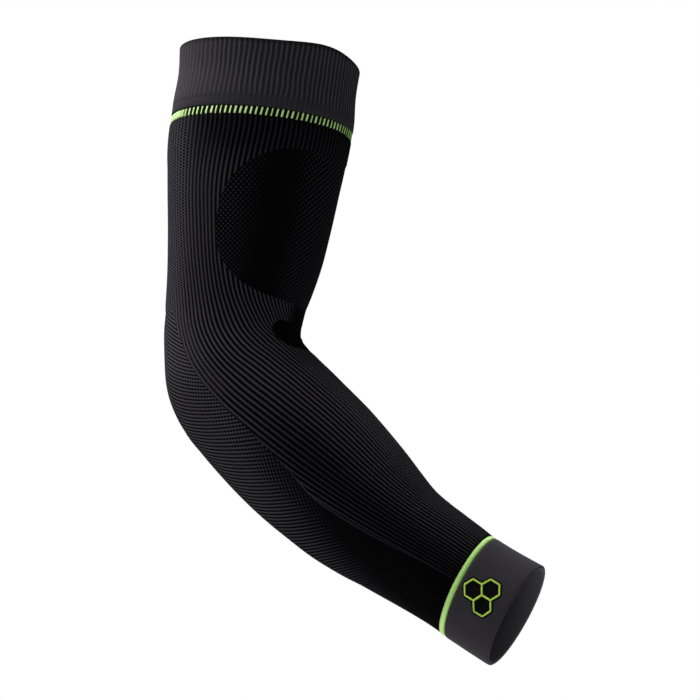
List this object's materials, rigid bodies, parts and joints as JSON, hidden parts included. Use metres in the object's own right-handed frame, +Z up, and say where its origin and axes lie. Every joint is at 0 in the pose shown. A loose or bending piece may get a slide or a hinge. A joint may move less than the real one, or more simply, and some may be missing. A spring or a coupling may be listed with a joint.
{
  "type": "arm compression sleeve",
  "caption": "Knitted compression sleeve as worn on a bent arm: open ribbed upper cuff, zoned tube with elbow bend, smooth wrist cuff, a narrow band beside each cuff and a small emblem.",
  "frame": {"origin": "centre of the upper opening, where the sleeve ends round the upper arm", "axes": "+Z up the upper arm and out of the upper opening; the elbow bends in the XZ plane with the forearm toward +X; -Y is the outer side of the arm, which carries the emblem"},
  "size_m": [0.2446, 0.0956, 0.3191],
  "materials": {
    "charcoal_knit": "matte charcoal polyamide and elastane knit",
    "black_knit": "matte black and grey zoned knit",
    "lime_knit": "matte lime knit",
    "lime_thread": "satin-stitched lime thread"
  },
  "bodies": {
    "root": {"upper_cuff": "charcoal_knit", "upper_accent_band": "lime_knit", "knit_body": "black_knit", "wrist_accent_band": "lime_knit", "wrist_cuff": "charcoal_knit", "cuff_emblem": "lime_thread"}
  },
  "joints": []
}
